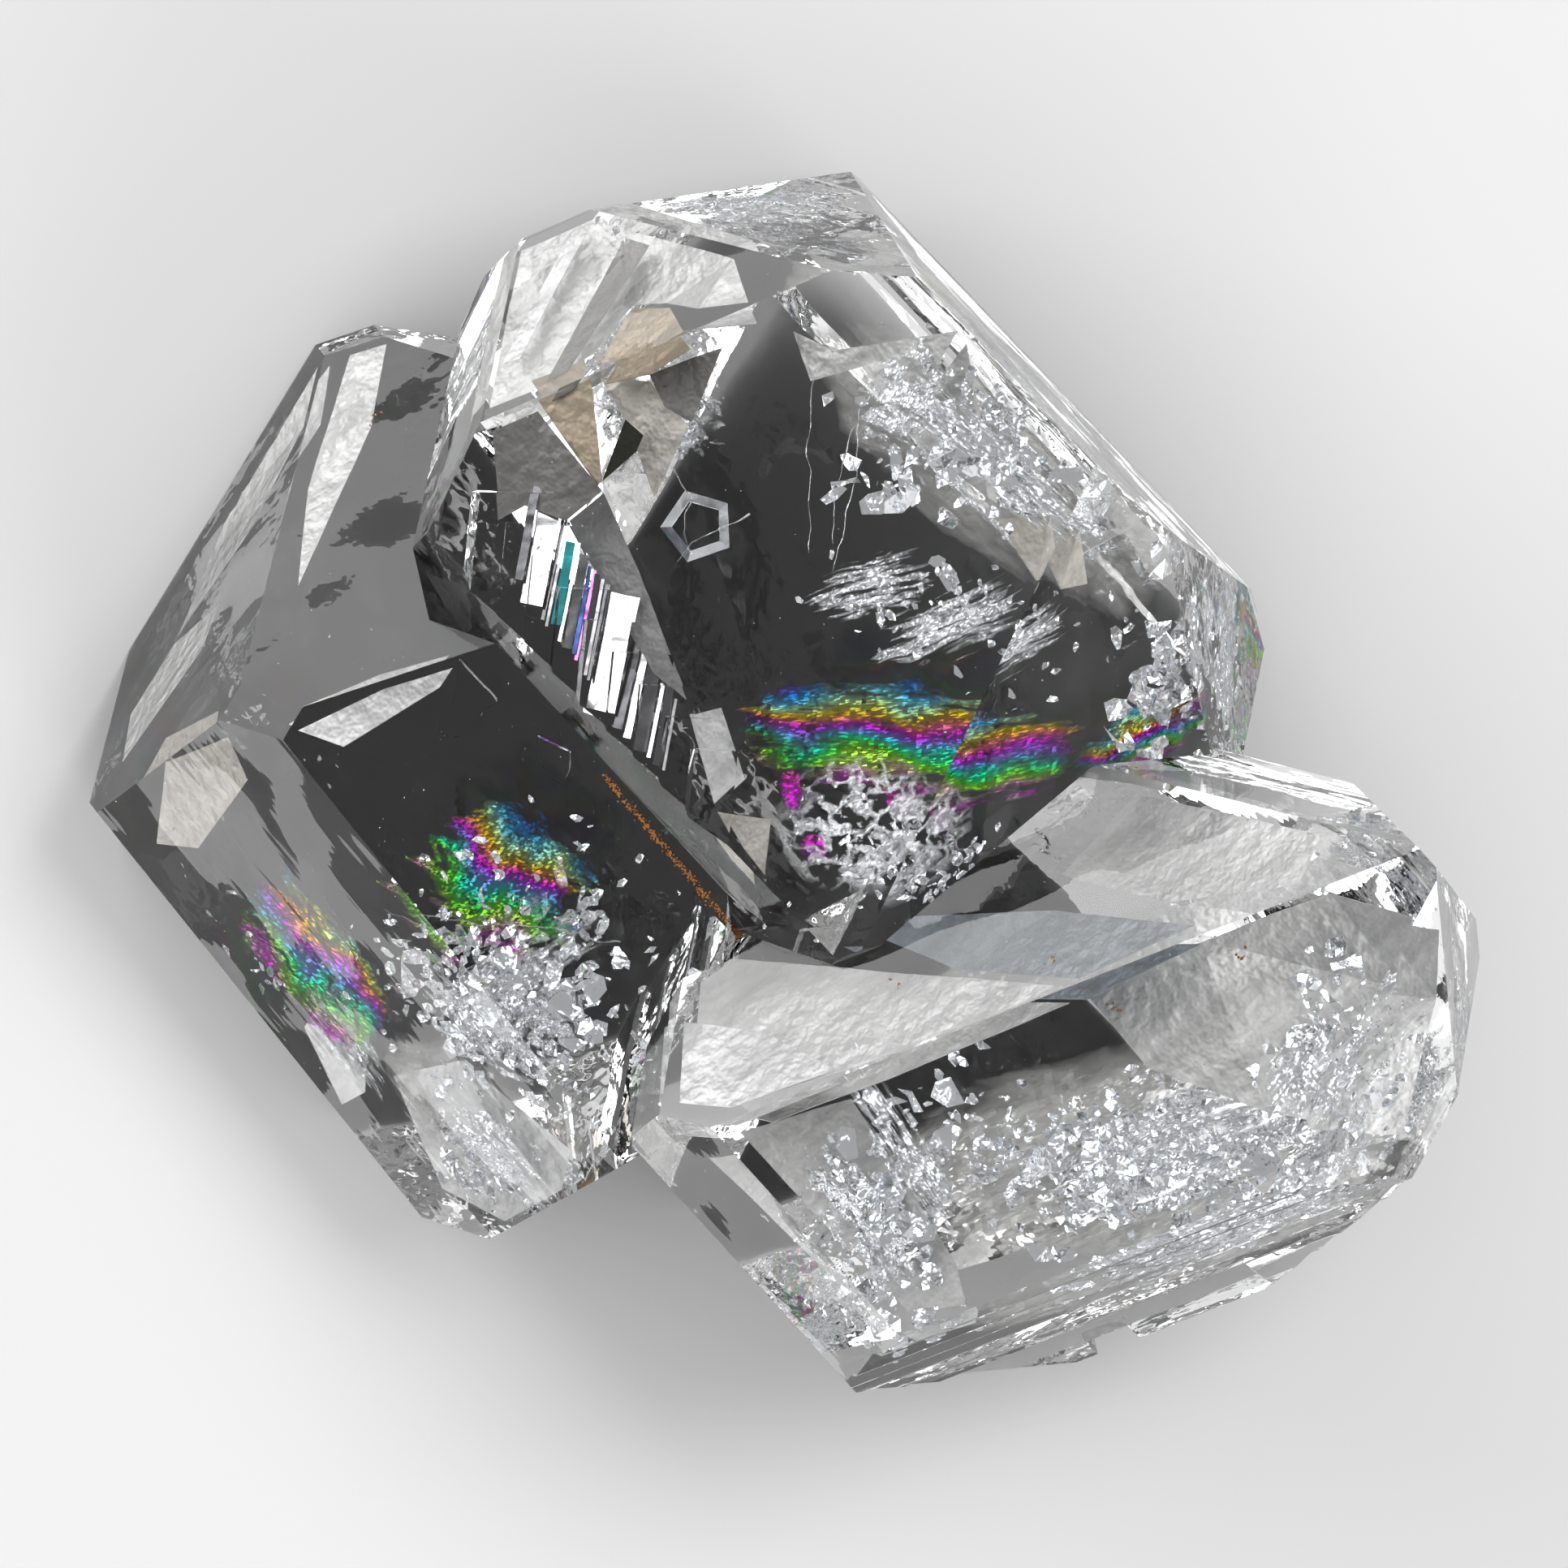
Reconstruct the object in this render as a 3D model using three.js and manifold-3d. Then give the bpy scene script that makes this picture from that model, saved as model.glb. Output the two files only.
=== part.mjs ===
// Herkimer quartz: three clear crystals grown into one another, as one closed solid.
// Millimetres, +Z up. The cluster lies on its level lower faces, with the floor at z = 0.

import * as THREE from 'three';
import { mergeVertices } from 'three/addons/utils/BufferGeometryUtils.js';
import Module from 'manifold-3d';

const wasm = await Module();
wasm.setup();

// Quartz lattice: how far each kind of face leans away from the long axis.
const axialRatio = 1.1;
const rhombLean = Math.atan(axialRatio * 2 / Math.sqrt(3));
const cornerLean = Math.atan(axialRatio * 2);
const prismLean = Math.PI / 2;
const sides = 6;
const sideAngle = Math.PI / 3;

// Larger than the cluster, so that a block reaches past it on every side.
const blockSize = 80;

// Each crystal has its centre, a small turn away from the shared lattice in degrees about x, y
// and z, and the distance of every face from that centre. Faces are counted round the long axis,
// from the one whose upper rhomb lies level. A corner face stands half a step past its number.
const windowCrystal = {
  centre: [-4.9, 7.8, 7.2],
  turn: [5.2, -2.8, 2.1],
  prism: [10.0, 13.0, 15.1, 10.0, 13.5, 14.6],
  upper: [7.4, 10.2, 13.0, 10.2, 13.4, 13.0],
  lower: [12.0, 12.5, 12.0, 6.8, 11.0, 12.8],
  corners: [],
};

const frontCrystal = {
  centre: [11.4, 2.3, 9.0],
  turn: [0, 0, 0],
  prism: [11.7, 9.3, 10.9, 8.4, 10.8, 12.2],
  upper: [8.5, 12.8, 15.6, 14.4, 10.9, 7.9],
  lower: [12.3, 11.2, 9.2, 9.4, 11.5, 12.5],
  corners: [],
};

const sideCrystal = {
  centre: [-9.7, -10.1, 6.4],
  turn: [0.3, -1.7, -3.2],
  prism: [4.2, 15.0, 13.0, 12.0, 16.9, 7.3],
  upper: [6.0, 15.0, 14.0, 14.0, 15.6, 7.8],
  lower: [7.2, 13.7, 12.0, 7.0, 13.6, 10.2],
  corners: [
    { after: 5, distance: 7.0 },
    { after: 4, distance: 13.6 },
  ],
};

// The broken end of the side crystal, where it once leaned on the rock.
const brokenEnd = { direction: [0.987, -0.156, 0.034], distance: 14.5 };

// Lengths below are measured on a face, along its edge with a neighbour and across that edge,
// from the foot of the line between the crystal's centre and the face.

// Growth steps cut into the window face beside its long bevel.
const growthSteps = {
  count: 9,
  firstAlong: -10.9,
  lastAlong: 0.6,
  across: -4.5,
  acrossDrift: -0.8,
  depth: 0.42,
  firstReach: 3.2,
  lastReach: 1.6,
  drop: 7,
  riserAngle: 51,
  ledgeAngle: -46,
};

// Sets of ridges that run the length of a side face.
const ridgeSets = {
  windowBack: { side: 3, edgeWith: 3, count: 6, firstAcross: -4.5, pitch: 1.5, depth: 0.14 },
  windowEnd: { side: 2, edgeWith: 2, count: 7, firstAcross: -5, pitch: 1.3, depth: 0.12 },
  frontSide: { side: 1, edgeWith: 0, count: 6, firstAcross: -5.4, pitch: 1.2, depth: 0.16 },
  frontBack: { side: 2, edgeWith: 2, count: 5, firstAcross: -4, pitch: 1.6, depth: 0.14 },
  sideBack: { side: 2, edgeWith: 2, count: 5, firstAcross: -4, pitch: 1.4, depth: 0.13 },
};
const ridgeLength = 40;

// The smooth ledge below the ridges of the front crystal, and the chip in its rim.
const lowLedge = { from: -4.4, to: 12, across: 1.8, width: 4.8, depth: 0.45 };
const rimChip = { from: 0.7, to: 2.3, across: 4.5, reach: 4, depth: 1.4 };

// Set-back feet of hidden faces, with a level ledge above each. They leave smaller level faces
// below, which are what shows dark through the crystals from above.
const setBackFeet = {
  windowBack: { lean: prismLean, side: 3, distance: 8.6, height: 1.4 },
  windowLeft: { lean: Math.PI - rhombLean, side: 4, distance: 9.8, height: 5.2 },
  frontRight: { lean: Math.PI - rhombLean, side: 2, distance: 7.8, height: 4.2 },
};

// Thin splinters that stand on the level face of the side crystal, beside the seam.
const splinterThickness = 0.3;
const splinterFooting = 0.15;
const hookOutline = [
  [-2.54, 7.53], [-1.55, 6.47], [-1.11, 5.46], [-0.5, 5.79],
  [-0.49, 6.73], [-0.67, 7.09], [-0.63, 7.65], [-1.48, 7.61],
];
const flakeOutline = [[1.19, 8.01], [1.88, 7.52], [2.85, 7.53], [2.83, 8.05], [2.32, 8.55]];

// A face's direction in the crystal's own frame, with the long axis along +Z.
function faceDirection(lean, step) {
  const azimuth = step * sideAngle - Math.PI / 2;
  return new THREE.Vector3(
    Math.sin(lean) * Math.cos(azimuth),
    Math.sin(lean) * Math.sin(azimuth),
    Math.cos(lean),
  );
}

// A closed three.js geometry as a solid that can be joined and cut.
function solidFrom(geometry) {
  const bare = geometry.clone();
  bare.deleteAttribute('normal');
  bare.deleteAttribute('uv');
  const merged = mergeVertices(bare, 1e-5);
  return new wasm.Manifold(new wasm.Mesh({
    numProp: 3,
    vertProperties: new Float32Array(merged.attributes.position.array),
    triVerts: new Uint32Array(merged.index.array),
  }));
}

// A joined solid as a three.js geometry again.
function geometryFrom(solid) {
  const mesh = solid.getMesh();
  const points = new Float32Array(mesh.numVert * 3);
  for (let index = 0; index < mesh.numVert; index += 1) {
    for (let axis = 0; axis < 3; axis += 1) {
      points[index * 3 + axis] = mesh.vertProperties[index * mesh.numProp + axis];
    }
  }
  const geometry = new THREE.BufferGeometry();
  geometry.setAttribute('position', new THREE.BufferAttribute(points, 3));
  geometry.setIndex(new THREE.BufferAttribute(new Uint32Array(mesh.triVerts), 1));
  return geometry;
}

// A large block whose near side is the plane at a distance along a direction.
function blockBeyond(direction, distance) {
  const facing = new THREE.Quaternion().setFromUnitVectors(new THREE.Vector3(0, 0, 1), direction);
  const middle = direction.clone().multiplyScalar(distance + blockSize / 2);
  const place = new THREE.Matrix4().compose(middle, facing, new THREE.Vector3(1, 1, 1));
  return new THREE.BoxGeometry(blockSize, blockSize, blockSize).applyMatrix4(place);
}

// A slanted box that starts at a corner point and spans three edges.
function slantedBox(corner, first, second, third) {
  const place = new THREE.Matrix4().makeBasis(first, second, third).setPosition(corner);
  return new THREE.BoxGeometry(1, 1, 1).translate(0.5, 0.5, 0.5).applyMatrix4(place);
}

// The turn of a crystal's own frame into the cluster's.
function crystalTurn({ turn }) {
  const angles = turn.map(THREE.MathUtils.degToRad);
  const small = new THREE.Matrix4().makeRotationFromEuler(new THREE.Euler(...angles, 'ZYX'));
  return small.multiply(new THREE.Matrix4().makeRotationX(-rhombLean));
}

function crystalMatrix(crystal) {
  return crystalTurn(crystal).setPosition(...crystal.centre);
}

// Every face of a crystal as a direction and a distance.
function crystalFaces({ prism, upper, lower, corners }) {
  const faces = [];
  for (let side = 0; side < sides; side += 1) {
    faces.push([faceDirection(prismLean, side), prism[side]]);
    faces.push([faceDirection(rhombLean, side), upper[side]]);
    faces.push([faceDirection(Math.PI - rhombLean, side), lower[side]]);
  }
  for (const corner of corners) {
    faces.push([faceDirection(cornerLean, corner.after + 0.5), corner.distance]);
  }
  return faces;
}

// A crystal is a block cut back to each of its faces in turn.
function crystalSolid(crystal) {
  const matrix = crystalMatrix(crystal);
  const block = new THREE.BoxGeometry(blockSize, blockSize, blockSize).applyMatrix4(matrix);
  return crystalFaces(crystal).reduce(
    (solid, [direction, distance]) => (
      solid.subtract(solidFrom(blockBeyond(direction, distance).applyMatrix4(matrix)))
    ),
    solidFrom(block),
  );
}

// The flat of one face: its foot point, its outward normal, the line along its edge with a
// neighbour, and the line across that edge.
function faceFlat(crystal, direction, distance, neighbour) {
  const turn = crystalTurn(crystal);
  const normal = direction.clone().applyMatrix4(turn);
  const along = normal.clone().cross(neighbour.clone().applyMatrix4(turn)).normalize();
  return {
    foot: new THREE.Vector3(...crystal.centre).addScaledVector(normal, distance),
    normal,
    along,
    across: normal.clone().cross(along),
  };
}

function pointOnFlat(flat, along, across, height = 0) {
  return flat.foot.clone()
    .addScaledVector(flat.along, along)
    .addScaledVector(flat.across, across)
    .addScaledVector(flat.normal, height);
}

function lineOnFlat(flat, degrees) {
  const angle = THREE.MathUtils.degToRad(degrees);
  return flat.along.clone().multiplyScalar(Math.cos(angle))
    .addScaledVector(flat.across, -Math.sin(angle));
}

// The flat of a side face, with the line along its edge with one of the upper rhombs.
function sideFlat(crystal, side, edgeWith) {
  const direction = faceDirection(prismLean, side);
  return faceFlat(crystal, direction, crystal.prism[side], faceDirection(rhombLean, edgeWith));
}

// The flat of the level upper rhomb, with the line along its edge with the side face below it.
function levelFlat(crystal) {
  const direction = faceDirection(rhombLean, 0);
  return faceFlat(crystal, direction, crystal.upper[0], faceDirection(prismLean, 0));
}

// Each growth step is a shallow wedge that is deepest at its riser and runs out along the face.
function withGrowthSteps(solid) {
  const flat = levelFlat(windowCrystal);
  const { count, firstAlong, lastAlong, across, acrossDrift, depth, drop } = growthSteps;
  const riser = lineOnFlat(flat, growthSteps.riserAngle).multiplyScalar(drop);
  const ledge = lineOnFlat(flat, growthSteps.ledgeAngle);
  let stepped = solid;
  for (let step = 0; step < count; step += 1) {
    const share = step / (count - 1);
    const deep = depth * (1 - 0.35 * Math.abs(Math.sin(step * 2.4)));
    const reach = THREE.MathUtils.lerp(growthSteps.firstReach, growthSteps.lastReach, share);
    const along = THREE.MathUtils.lerp(firstAlong, lastAlong, share);
    const corner = pointOnFlat(flat, along, across + acrossDrift * share, -deep);
    const floor = ledge.clone().multiplyScalar(reach).addScaledVector(flat.normal, deep);
    const wall = flat.normal.clone().addScaledVector(ledge, -0.5);
    stepped = stepped.subtract(solidFrom(slantedBox(corner, riser, floor, wall)));
  }
  return stepped;
}

// A long sawtooth cut, deepest at its upper side and running out across the face.
function sawtooth(flat, { from, to, across, width, depth }) {
  const corner = pointOnFlat(flat, from, across, -depth);
  const run = flat.along.clone().multiplyScalar(to - from);
  const slope = flat.across.clone().multiplyScalar(width).addScaledVector(flat.normal, depth);
  const wall = flat.normal.clone().addScaledVector(flat.across, -0.3);
  return solidFrom(slantedBox(corner, run, slope, wall));
}

// Ridges are what is left between sawtooth cuts of uneven depth.
function withRidges(solid, crystal, { side, edgeWith, count, firstAcross, pitch, depth }) {
  const flat = sideFlat(crystal, side, edgeWith);
  let ridged = solid;
  for (let ridge = 0; ridge < count; ridge += 1) {
    const shift = 1.4 * Math.sin(ridge * 2.7);
    ridged = ridged.subtract(sawtooth(flat, {
      from: shift - ridgeLength / 2,
      to: shift + ridgeLength / 2,
      across: firstAcross + pitch * ridge,
      width: pitch,
      depth: depth * (1 + 0.5 * Math.sin(ridge * 1.9)),
    }));
  }
  return ridged;
}

// The chip is cut square through the rim, the ledge is one wide sawtooth.
function withLedgeAndChip(solid) {
  const { side, edgeWith } = ridgeSets.frontSide;
  const flat = sideFlat(frontCrystal, side, edgeWith);
  const chip = slantedBox(
    pointOnFlat(flat, rimChip.from, rimChip.across, -rimChip.depth),
    flat.along.clone().multiplyScalar(rimChip.to - rimChip.from),
    flat.across.clone().multiplyScalar(rimChip.reach),
    flat.normal.clone().multiplyScalar(rimChip.depth * 2),
  );
  return solid.subtract(sawtooth(flat, lowLedge)).subtract(solidFrom(chip));
}

// A splinter is a thin plate with a curved outline, sunk a little into the face it stands on.
function splinter(outline) {
  const points = outline.map(([along, across]) => new THREE.Vector2(along, across));
  const shape = new THREE.Shape();
  shape.moveTo(points[0].x, points[0].y);
  shape.splineThru(points.slice(1));
  const flat = levelFlat(sideCrystal);
  const plate = new THREE.ExtrudeGeometry(shape, {
    depth: splinterThickness + splinterFooting,
    bevelEnabled: false,
    curveSegments: outline.length * 3,
  });
  const place = new THREE.Matrix4().makeBasis(flat.along, flat.across, flat.normal);
  plate.applyMatrix4(place.setPosition(pointOnFlat(flat, 0, 0, -splinterFooting)));
  return solidFrom(plate);
}

function withSetBackFoot(solid, crystal, { lean, side, distance, height }) {
  const outside = blockBeyond(faceDirection(lean, side), distance);
  const above = blockBeyond(new THREE.Vector3(0, 0, 1), height);
  const waste = solidFrom(outside.applyMatrix4(crystalMatrix(crystal))).subtract(solidFrom(above));
  return solid.subtract(waste);
}

function windowSolid() {
  const whole = crystalSolid(windowCrystal);
  const footed = withSetBackFoot(whole, windowCrystal, setBackFeet.windowBack);
  const doubleFooted = withSetBackFoot(footed, windowCrystal, setBackFeet.windowLeft);
  const stepped = withGrowthSteps(doubleFooted);
  const backed = withRidges(stepped, windowCrystal, ridgeSets.windowBack);
  return withRidges(backed, windowCrystal, ridgeSets.windowEnd);
}

function frontSolid() {
  const footed = withSetBackFoot(crystalSolid(frontCrystal), frontCrystal, setBackFeet.frontRight);
  const ridged = withRidges(footed, frontCrystal, ridgeSets.frontSide);
  return withLedgeAndChip(withRidges(ridged, frontCrystal, ridgeSets.frontBack));
}

function sideSolid() {
  const direction = new THREE.Vector3(...brokenEnd.direction).normalize();
  const waste = blockBeyond(direction, brokenEnd.distance).translate(...sideCrystal.centre);
  const broken = crystalSolid(sideCrystal).subtract(solidFrom(waste));
  const ridged = withRidges(broken, sideCrystal, ridgeSets.sideBack);
  return ridged.add(splinter(hookOutline)).add(splinter(flakeOutline));
}

// The crystals joined, with everything below the floor cut away.
function clusterSolid() {
  const belowFloor = solidFrom(blockBeyond(new THREE.Vector3(0, 0, -1), 0));
  return windowSolid().add(frontSolid()).add(sideSolid()).subtract(belowFloor);
}

// The middle of the cluster's footprint goes to the origin.
function centred(geometry) {
  geometry.computeBoundingBox();
  const { min, max } = geometry.boundingBox;
  return geometry.translate(-(min.x + max.x) / 2, -(min.y + max.y) / 2, -min.z);
}

const quartz = new THREE.MeshStandardMaterial({ color: 0xf2f4f5, roughness: 0.04, metalness: 0 });
const cluster = new THREE.Mesh(centred(geometryFrom(clusterSolid())), quartz);
cluster.name = 'crystal_cluster';

const group = new THREE.Group();
group.add(cluster);

export default group;
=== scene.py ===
"""The looks of a cluster of clear quartz crystals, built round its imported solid."""

import math
import random

import bmesh
import bpy
from mathutils import Matrix, Vector, noise
from mathutils.bvhtree import BVHTree


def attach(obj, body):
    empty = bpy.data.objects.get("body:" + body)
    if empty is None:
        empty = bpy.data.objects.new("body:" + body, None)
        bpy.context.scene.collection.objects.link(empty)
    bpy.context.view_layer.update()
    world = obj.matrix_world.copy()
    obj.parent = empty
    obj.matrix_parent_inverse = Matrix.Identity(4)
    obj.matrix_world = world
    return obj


bl_info = {
    "name": "Herkimer Quartz Cluster",
    "version": (1, 0, 0),
    "blender": (4, 5, 0),
    "location": "3D View > Sidebar > Quartz",
    "description": "Dresses a packed quartz cluster with clear crystal, inner cracks and films",
    "category": "Object",
}

MM = 0.001
QUARTZ_INDEX = 1.544

# Two points that are closer than this count as one.
TOUCHING = 0.001 * MM

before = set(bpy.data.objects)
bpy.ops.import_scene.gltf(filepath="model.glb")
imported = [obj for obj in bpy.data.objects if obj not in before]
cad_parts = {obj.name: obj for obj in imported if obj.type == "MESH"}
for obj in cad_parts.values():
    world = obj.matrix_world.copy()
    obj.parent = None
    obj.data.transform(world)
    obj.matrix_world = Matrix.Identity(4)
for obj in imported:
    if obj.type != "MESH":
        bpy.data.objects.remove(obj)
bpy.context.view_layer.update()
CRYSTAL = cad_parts["crystal_cluster"]

# The photograph is nearly free of perspective. These are its right, up and towards-the-camera
# directions, and the point of the cluster's frame that lies at the middle of the picture.
PHOTO_RIGHT = Vector((0.671, 0.729, -0.134))
PHOTO_UP = Vector((-0.740, 0.647, -0.186))
TOWARDS_CAMERA = PHOTO_RIGHT.cross(PHOTO_UP).normalized()
PHOTO_MIDDLE = Vector((-1.65, 4.12, 17.0)) * MM
PHOTO_PIXELS = 1932
PIXELS_PER_MM = 36

# How far above the cluster's middle a ray through a pixel starts, in millimetres.
RAY_START = 60

# Directions in which a flat crack faces when it mirrors one of the lamps towards the camera.
TO_LEFT_LAMP = (-0.337, 0.076, 0.938)
TO_RIGHT_LAMP = (0.307, 0.077, 0.949)
TO_BACK_LAMP = (0.011, 0.290, 0.957)
TO_FRONT_LAMP = (-0.033, -0.600, 0.800)

# How a nearly level sheet faces.
LEVEL = (-0.03, 0.15, 0.99)

# A direction that runs along none of the crystal's faces or edges.
ACROSS_ALL_FACES = Vector((0.123, 0.217, 0.968)).normalized()


class QuartzSettings(bpy.types.PropertyGroup):
    """The clear crystal itself."""

    refraction: bpy.props.FloatProperty(
        name="Refraction",
        description="Refractive index of quartz",
        default=QUARTZ_INDEX,
        min=1.0,
        max=2.5,
    )
    absorption: bpy.props.FloatProperty(
        name="Absorption",
        description="How much of the light a metre of crystal swallows",
        default=2.0,
        min=0.0,
    )


class CrackSettings(bpy.types.PropertyGroup):
    """Air-filled cracks, films and veils inside the crystal."""

    gap: bpy.props.FloatProperty(
        name="Crack gap",
        description="Thickness of the air layer in a crack",
        default=0.03 * MM,
        precision=6,
        unit="LENGTH",
    )
    margin: bpy.props.FloatProperty(
        name="Margin",
        description="Least distance from a crack to the crystal's surface",
        default=0.12 * MM,
        precision=6,
        unit="LENGTH",
    )
    silver: bpy.props.FloatVectorProperty(
        name="Crack colour",
        description="Colour of the light that a crack throws back",
        default=(0.95, 0.97, 1.0),
        subtype="COLOR",
        min=0.0,
        max=1.0,
    )
    haze: bpy.props.FloatVectorProperty(
        name="Haze colour",
        description="Colour of the faint clouds in the crystal",
        default=(0.93, 0.92, 0.90),
        subtype="COLOR",
        min=0.0,
        max=1.0,
    )


class GrainSettings(bpy.types.PropertyGroup):
    """Dust, specks and stains on the crystal."""

    dust_count: bpy.props.IntProperty(
        name="Dust grains",
        description="How many dust grains lie on the crystal",
        default=1400,
        min=0,
    )
    dust_size: bpy.props.FloatProperty(
        name="Dust size",
        description="Width of a middling dust grain",
        default=0.05 * MM,
        precision=6,
        unit="LENGTH",
    )
    stain_count: bpy.props.IntProperty(
        name="Stain grains",
        description="How many grains of iron stain line the seam",
        default=420,
        min=0,
    )
    stain: bpy.props.FloatVectorProperty(
        name="Stain colour",
        description="Colour of the iron stain in the seam",
        default=(0.36, 0.13, 0.02),
        subtype="COLOR",
        min=0.0,
        max=1.0,
    )


class StageSettings(bpy.types.PropertyGroup):
    """Floor, lights and camera."""

    floor_width: bpy.props.FloatProperty(
        name="Floor width",
        description="Width of the pale floor",
        default=6.0,
        unit="LENGTH",
    )
    camera_distance: bpy.props.FloatProperty(
        name="Camera distance",
        description="From the camera to the middle of the cluster",
        default=1.2,
        unit="LENGTH",
    )


# The next six tables hold sheets inside the crystal, in millimetres and degrees: middle, width
# and depth, the direction each faces, its turn in its own plane, how far its surface wanders,
# and a seed.
FEATHERS = {
    "window_feather": ((-8.6, 15.6, 12.6), (3.4, 6.0), TO_BACK_LAMP, -24, 0.5, 3),
    "window_drapery": ((-1.6, 11.2, 9.0), (7.4, 3.4), TO_LEFT_LAMP, 20, 0.5, 8),
    "window_spray": ((-4.4, 10.0, 9.6), (6.4, 2.8), TO_LEFT_LAMP, 14, 0.4, 9),
    "window_shoulder": ((-4.9, 16.6, 12.6), (10.0, 2.6), TO_BACK_LAMP, -42, 0.5, 11),
    "window_end": ((3.6, 15.8, 7.0), (4.6, 3.6), TO_LEFT_LAMP, -50, 0.5, 13),
    "side_middle": ((-2.6, -8.4, 8.0), (7.0, 3.6), TO_LEFT_LAMP, 25, 0.6, 17),
    "side_foot": ((1.6, -14.0, 8.0), (6.0, 4.6), TO_FRONT_LAMP, -30, 0.6, 19),
    "side_belly": ((-4.6, -15.4, 6.4), (6.4, 3.0), TO_FRONT_LAMP, -50, 0.5, 23),
    "front_left": ((10.4, -1.6, 15.2), (9.6, 2.2), TO_LEFT_LAMP, -58, 0.4, 29),
    "front_heap": ((16.0, 4.0, 11.4), (13.0, 4.4), TO_LEFT_LAMP, 10, 0.6, 31),
    "front_tip": ((17.6, 10.6, 14.8), (5.0, 3.0), TO_RIGHT_LAMP, 50, 0.4, 37),
}

GRITS = {
    "top_grit": ((-16.4, 14.6, 6.6), (9.0, 3.4), TO_BACK_LAMP, 10, 0.5, 151),
    "shoulder_grit": ((-5.6, 15.8, 7.4), (11.0, 4.6), TO_BACK_LAMP, -42, 0.5, 157),
    "end_grit": ((5.0, 15.4, 5.0), (3.6, 8.0), TO_LEFT_LAMP, 20, 0.4, 163),
    "side_grit": ((-1.6, -9.8, 7.4), (7.0, 5.0), TO_LEFT_LAMP, -20, 0.5, 167),
    "foot_grit": ((2.2, -13.8, 5.8), (6.6, 5.0), TO_LEFT_LAMP, -30, 0.5, 173),
    "front_grit": ((16.4, 3.6, 8.6), (17.0, 5.6), TO_LEFT_LAMP, 12, 0.6, 179),
    "front_edge_grit": ((11.4, -4.4, 13.6), (3.0, 8.0), TO_LEFT_LAMP, 38, 0.5, 181),
    "front_tip_grit": ((18.4, 11.0, 8.0), (5.0, 6.0), TO_BACK_LAMP, 30, 0.5, 191),
    "window_corner_grit": ((-13.8, 8.6, 9.4), (6.0, 5.0), TO_LEFT_LAMP, -30, 0.5, 193),
}

RAINBOW_FILMS = {
    "window_rainbow": ((0.1, 6.9, 9.0), (13.4, 4.8), TO_LEFT_LAMP, -6, 0.25, 41),
    "end_rainbow": ((5.0, 12.4, 7.8), (6.4, 3.2), TO_LEFT_LAMP, 14, 0.25, 43),
    "side_rainbow": ((-5.2, -7.2, 8.0), (7.4, 6.0), TO_LEFT_LAMP, -30, 0.25, 47),
    "belly_rainbow": ((-7.4, -14.2, 7.4), (8.4, 6.4), TO_FRONT_LAMP, -44, 0.25, 53),
}

PURPLE_FILMS = {
    "network_purple_top": ((-1.0, 3.1, 10.4), (1.0, 1.9), TO_LEFT_LAMP, 0, 0.1, 59),
    "network_purple_low": ((1.0, 2.4, 10.4), (1.3, 1.1), TO_LEFT_LAMP, 0, 0.1, 61),
    "network_purple_side": ((1.9, 5.6, 10.0), (0.8, 2.0), TO_LEFT_LAMP, 40, 0.1, 67),
}

HAZES = {
    "front_low_haze": ((15.6, 2.8, 8.2), (18.0, 7.0), LEVEL, 12, 0.4, 71),
    "shoulder_haze": ((-5.6, 15.4, 6.6), (13.0, 5.4), LEVEL, -42, 0.4, 79),
    "side_haze": ((0.6, -13.0, 5.4), (8.0, 5.0), LEVEL, -30, 0.4, 83),
}

NETWORKS = {
    "window_network": ((1.4, 4.2, 10.6), (6.4, 5.2), TO_LEFT_LAMP, 0, 0.2, 89),
}

# How many grid cells lie along a sheet, and how much of its own UV tile stays free at the rim.
SHEET_CELLS = 72
SMALL_SHEET_CELLS = 24
UV_RIM = 0.001

# How a sheet crumples: folds per millimetre, and the noise's roughness, step and levels. Its
# seed, times the strides, is its place in the noise, and picks its own UV tile, in rows.
FOLDS_PER_MM = 0.35
FOLD_ROUGHNESS = 0.8
FOLD_STEP = 2.1
FOLD_LEVELS = 5
SEED_STRIDES = (7.1, 3.7, 1.3)
SEED_ROWS = 7

# Wavelengths of the three primary colours, in nanometres.
WAVELENGTHS = {"Red": 630, "Green": 532, "Blue": 455}
FILM_BRIGHTNESS = 0.55

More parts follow.
